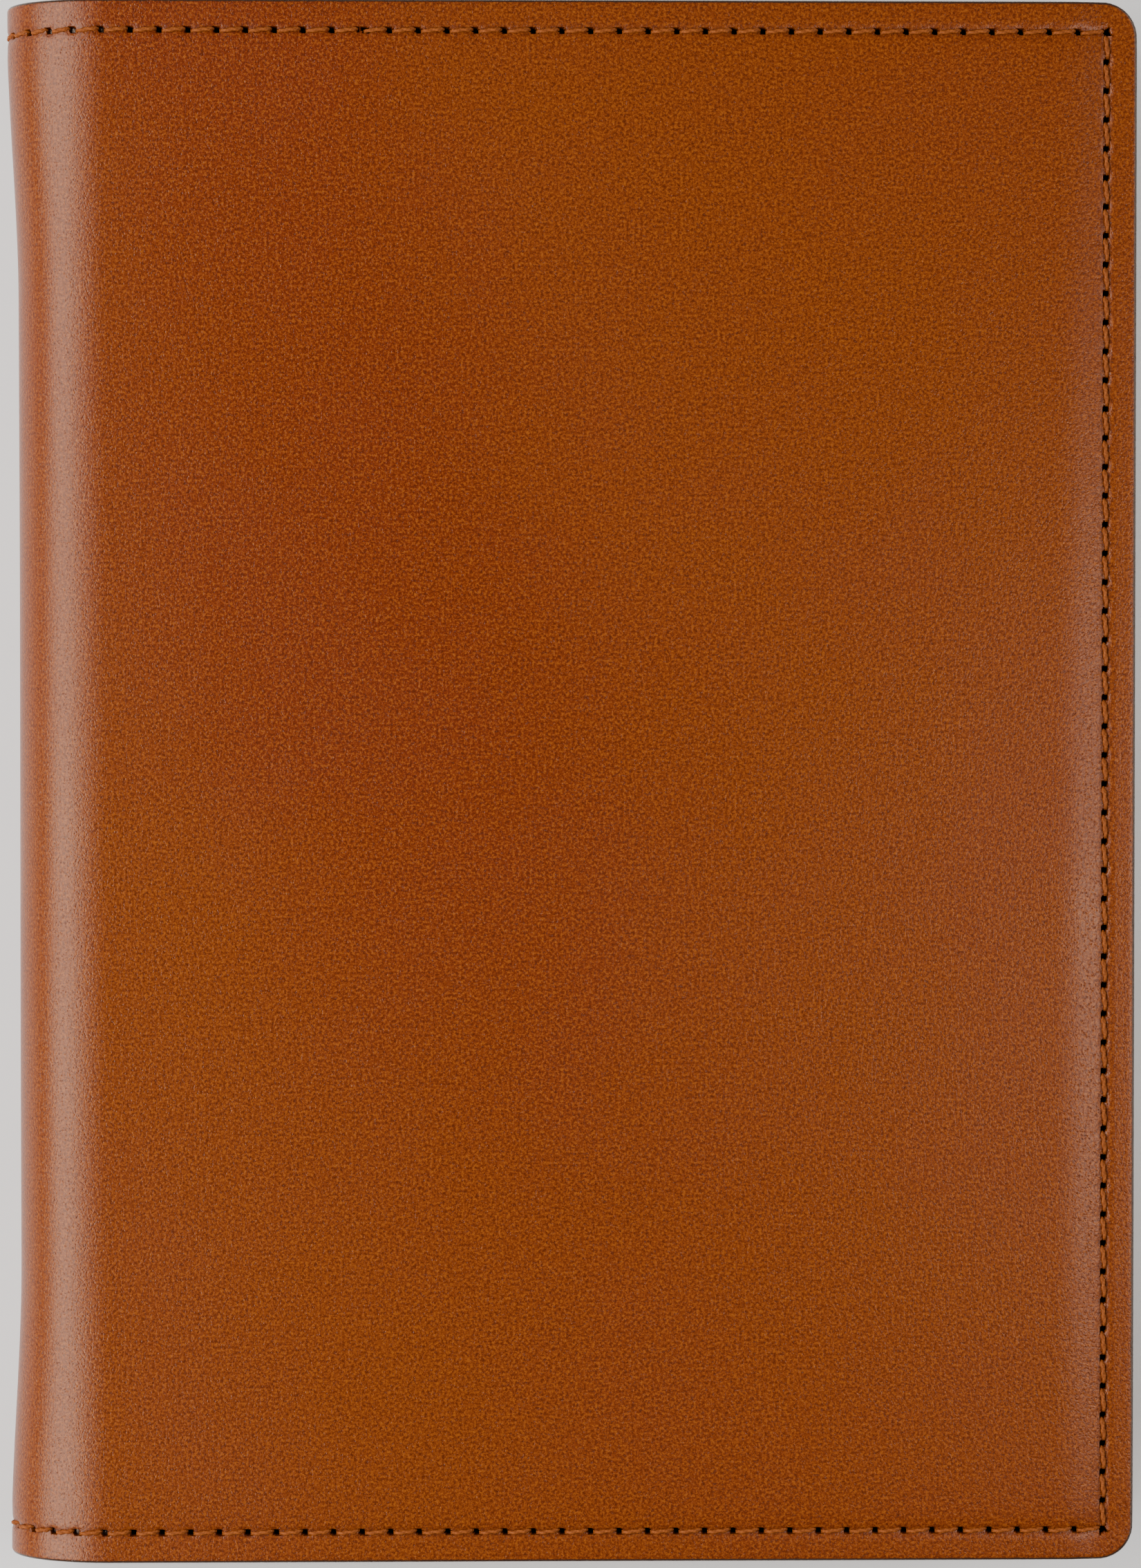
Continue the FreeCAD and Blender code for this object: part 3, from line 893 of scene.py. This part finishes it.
def join_threads(rows, name, depth_at):
    """Join rows of stitches and lay them on the hide at the height that depth_at gives."""
    deselect()
    for row in rows:
        row.select_set(True)
    bpy.context.view_layer.objects.active = rows[0]
    bpy.ops.object.join()
    thread = bpy.context.object
    thread.name = name
    thread.data.name = name
    flat = points(thread)
    u, v = flat[:, 0], flat[:, 1]
    keep_place(thread, flat)
    set_points(thread, wrap(u, v, depth_at(u, v) + flat[:, 2]))
    activate(thread)
    bpy.ops.object.mode_set(mode="EDIT")
    bpy.ops.mesh.select_all(action="SELECT")
    bpy.ops.mesh.normals_make_consistent(inside=False)
    bpy.ops.object.mode_set(mode="OBJECT")
    return thread


def outer_seat(u, v):
    """Height of the middle of the thread on the outer face."""
    edge_row = 0.10 * MM * (1 - smooth(4.6 * MM, 5.6 * MM, fore_gap(u)))
    return margin_drop(u, v) + edge_row - 0.16 * MM


def inner_seat(u, v):
    """Height of the middle of the thread on the lining or the sleeve's rim."""
    on_sleeve = fore_gap(u) < FORE - SLEEVE_START
    face = np.where(on_sleeve, RIM_SLEEVE_FACE, RIM_LINING_FACE)
    return -face - 0.05 * MM


def build_threads(settings):
    seam = Seam(settings)
    linen = materials()["Linen thread"]
    pitch, width = seam.row_pitch, settings.thread_width
    row_starts = [seam.far_u + pitch * k for k in range(settings.row_stitches)]
    for number, name, stands_for in hide_pieces("thread", "stitching"):
        low, high = piece_span(number)
        mine = [start for start in row_starts if low <= start + pitch / 2 < high]
        edge_u = {1: seam.far_u, STRIPS + 1: seam.edge_u}.get(number)
        threads = []
        for inward, seat in ((False, outer_seat), (True, inner_seat)):
            rows = [stitch_row(name + "_row", mine[0], pitch, len(mine), width, inward,
                               edge_v=side * seam.row_v) for side in (1, -1)]
            if edge_u is not None:
                rows.append(stitch_row(name + "_edge", -seam.row_v, seam.edge_pitch,
                                       settings.edge_stitches, width, inward, edge_u=edge_u))
            threads.append(join_threads(rows, name + "_face", seat))
        deselect()
        for thread in threads:
            thread.select_set(True)
        bpy.context.view_layer.objects.active = threads[0]
        bpy.ops.object.join()
        thread = bpy.context.object
        thread.name = name
        finish_piece(thread, linen, stands_for, smooth_angle=60)
        bend_over_fold(thread)


def rounded_leaf(name, low, high, bevel):
    """A thin sheet or block with soft edges and its two fore-edge corners rounded."""
    deselect()
    bpy.ops.mesh.primitive_cube_add(size=1, location=(low + high) / 2)
    leaf = bpy.context.object
    leaf.name = name
    leaf.data.name = name
    leaf.scale = high - low
    bpy.ops.object.transform_apply(location=True, rotation=True, scale=True)
    bpy.ops.object.mode_set(mode="EDIT")
    mesh = bmesh.from_edit_mesh(leaf.data)
    bpy.ops.mesh.select_mode(type="EDGE")
    bpy.ops.mesh.select_all(action="DESELECT")
    for edge in mesh.edges:
        a, b = (vertex.co for vertex in edge.verts)
        upright = abs(a.z - b.z) > (high.z - low.z) / 2
        edge.select = upright and a.x > (low.x + high.x) / 2
    mesh.select_flush_mode()
    bmesh.update_edit_mesh(leaf.data)
    bpy.ops.mesh.bevel(offset=PAGE_CORNER, segments=8, affect="EDGES")
    bpy.ops.object.mode_set(mode="OBJECT")
    apply_modifier(leaf, "BEVEL", width=bevel, segments=2, limit_method="ANGLE",
                   angle_limit=math.radians(60))
    return leaf


def round_back(z):
    """How far the rounded back of the sewn block stands in at a height."""
    low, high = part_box("binding_tape")
    return 1.5 * MM * (2 * (z - low.z) / (high.z - low.z) - 1) ** 2


def build_pages():
    """Each signature is eight leaves, trimmed a hair unevenly, folded over at the spine."""
    paper = materials()["Cream paper"]
    rng = np.random.default_rng(7)
    leaves_each = 8
    for number in range(1, SIGNATURES + 1):
        low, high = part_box("signature_%d" % number)
        thick = (high.z - low.z) / leaves_each
        leaves = []
        for k in range(leaves_each):
            bottom, top = low.copy(), high.copy()
            bottom.z = low.z + thick * k + 0.012 * MM
            top.z = low.z + thick * (k + 1) - 0.012 * MM
            top.x -= abs(rng.normal(0, 0.10 * MM))
            top.y -= abs(rng.normal(0, 0.08 * MM))
            bottom.y += abs(rng.normal(0, 0.08 * MM))
            fold = abs(k + 0.5 - leaves_each / 2) / (leaves_each / 2)
            bottom.x += 0.25 * MM * fold ** 2 + round_back((bottom.z + top.z) / 2)
            leaves.append(rounded_leaf("leaf", bottom, top, 0.03 * MM))
        deselect()
        for leaf in leaves:
            leaf.select_set(True)
        bpy.context.view_layer.objects.active = leaves[0]
        bpy.ops.object.join()
        block = bpy.context.object
        block.name = "page_section_%d" % number
        finish_piece(block, paper, ["signature_%d" % number], "back_cover", 30)


def build_boards():
    """The notebook's own covers, its binding tape, and the hidden stiffening boards."""
    for side, body in (("front", "front_cover"), ("back", "back_cover")):
        low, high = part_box(side + "_card")
        card = rounded_leaf(side + "_notebook_cover", low, high, 0.12 * MM)
        finish_piece(card, materials()["Black card"], [side + "_card"], body, 30)
        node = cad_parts[side + "_stiffener"]
        node.data.materials.clear()
        node.data.materials.append(materials()["Fibre board"])
    low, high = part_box("binding_tape")
    tape = flat_sheet("spine_tape", lines(low.z, high.z, 0.6 * MM), lines(low.y, high.y, 3 * MM))
    flat = points(tape)
    set_points(tape, np.stack([low.x + round_back(flat[:, 0]), flat[:, 1], flat[:, 0]], axis=1))
    thicken(tape, high.x - low.x)
    apply_modifier(tape, "BEVEL", width=0.1 * MM, segments=2, limit_method="ANGLE",
                   angle_limit=math.radians(60))
    finish_piece(tape, materials()["Binding cloth"], ["binding_tape"], "back_cover", 30)


def area_light(name, centre, aim, size, power, tint):
    deselect()
    bpy.ops.object.light_add(type="AREA", location=centre)
    lamp = bpy.context.object
    lamp.name = name
    lamp.data.shape = "RECTANGLE"
    lamp.data.size, lamp.data.size_y = size
    lamp.data.energy = power
    lamp.data.color = tint
    direction = Vector(aim) - Vector(centre)
    lamp.rotation_euler = direction.to_track_quat("-Z", "Y").to_euler()


def build_stage():
    deselect()
    bpy.ops.mesh.primitive_plane_add(size=6, location=(0, 0, CAD_LOW.z - 0.05 * MM))
    floor = bpy.context.object
    floor.name = "table_top"
    floor.data.transform(floor.matrix_world)
    floor.matrix_world.identity()
    floor.data.materials.append(materials()["Pale table"])
    area_light("left_softbox", (-0.50, 0.0, 0.45), (-0.07, 0.0, 0.02), (1.2, 0.40),
               11.2, (1.0, 0.97, 0.94))
    area_light("right_softbox", (0.62, 0.10, 0.30), (0.05, 0.0, 0.01), (1.0, 0.36),
               3.4, (1.0, 0.98, 0.96))
    area_light("seam_light", (0.260, -0.050, 0.42), (0.076, -0.030, 0.01), (0.16, 0.05),
               0.55, (1.0, 0.97, 0.94))
    world = bpy.context.scene.world or bpy.data.worlds.new("studio")
    bpy.context.scene.world = world
    world.use_nodes = True
    sky = world.node_tree.nodes["Background"]
    sky.inputs["Color"].default_value = (1.0, 0.985, 0.97, 1)
    sky.inputs["Strength"].default_value = 0.07
    add_camera()


def add_camera():
    """Looks straight down on the front cover, tipped a little to the head and the spine."""
    deselect()
    bpy.ops.object.camera_add()
    camera = bpy.context.object
    distance, margin = 0.560, 1.003
    tip_head, tip_spine = math.radians(1.2), math.radians(1.0)
    target = Vector((0.0002, 0.0, CAD_HIGH.z))
    camera.rotation_euler = (-tip_head, -tip_spine, 0)
    back = camera.rotation_euler.to_matrix() @ Vector((0, 0, 1))
    camera.location = target + back * distance
    camera.data.sensor_fit = "VERTICAL"
    camera.data.angle = 2 * math.atan(HALF_TALL * margin / distance)
    camera.data.clip_start = 0.01
    bpy.context.scene.camera = camera


# ---- operators and panel ------------------------------------------------------------------

class COVER_OT_hides(bpy.types.Operator):
    """Cut, wrap and shape the outer leather"""

    bl_idname = "cover.hides"
    bl_label = "Outer leather"

    def execute(self, context):
        build_hides(context.scene.cover_settings)
        return {"FINISHED"}


class COVER_OT_linings(bpy.types.Operator):
    """Glue the lining over the boards and round the spine"""

    bl_idname = "cover.linings"
    bl_label = "Lining"

    def execute(self, context):
        build_linings(context.scene.cover_settings)
        return {"FINISHED"}


class COVER_OT_sleeves(bpy.types.Operator):
    """Sew in the two sleeves"""

    bl_idname = "cover.sleeves"
    bl_label = "Sleeves"

    def execute(self, context):
        build_sleeves(context.scene.cover_settings)
        return {"FINISHED"}


class COVER_OT_threads(bpy.types.Operator):
    """Stitch the seams on both faces"""

    bl_idname = "cover.threads"
    bl_label = "Stitching"

    def execute(self, context):
        build_threads(context.scene.cover_settings)
        return {"FINISHED"}


class COVER_OT_pages(bpy.types.Operator):
    """Fold and trim the sections of the notebook"""

    bl_idname = "cover.pages"
    bl_label = "Pages"

    def execute(self, context):
        build_pages()
        return {"FINISHED"}


class COVER_OT_boards(bpy.types.Operator):
    """Make the notebook's covers, its tape and the stiffening boards"""

    bl_idname = "cover.boards"
    bl_label = "Boards and tape"

    def execute(self, context):
        build_boards()
        return {"FINISHED"}


class COVER_OT_stage(bpy.types.Operator):
    """Set the table, the lights and the camera"""

    bl_idname = "cover.stage"
    bl_label = "Stage"

    def execute(self, context):
        build_stage()
        return {"FINISHED"}


OPERATORS = (COVER_OT_stage, COVER_OT_hides, COVER_OT_linings, COVER_OT_sleeves,
             COVER_OT_threads, COVER_OT_pages, COVER_OT_boards)


class COVER_PT_panel(bpy.types.Panel):
    """Lists the steps of the cover"""

    bl_idname = "COVER_PT_panel"
    bl_label = "Notebook cover"
    bl_space_type = "VIEW_3D"
    bl_region_type = "UI"
    bl_category = "Cover"

    def draw(self, context):
        settings = context.scene.cover_settings
        for name in CoverSettings.__annotations__:
            self.layout.prop(settings, name)
        for operator in OPERATORS:
            self.layout.operator(operator.bl_idname)


CLASSES = (CoverSettings, *OPERATORS, COVER_PT_panel)


def register():
    for cls in CLASSES:
        bpy.utils.register_class(cls)
    bpy.types.Scene.cover_settings = bpy.props.PointerProperty(type=CoverSettings)


def unregister():
    del bpy.types.Scene.cover_settings
    for cls in reversed(CLASSES):
        bpy.utils.unregister_class(cls)


def main():
    register()
    bpy.ops.cover.stage()
    bpy.ops.cover.hides()
    bpy.ops.cover.linings()
    bpy.ops.cover.sleeves()
    bpy.ops.cover.threads()
    bpy.ops.cover.pages()
    bpy.ops.cover.boards()


if __name__ == "__main__":
    main()
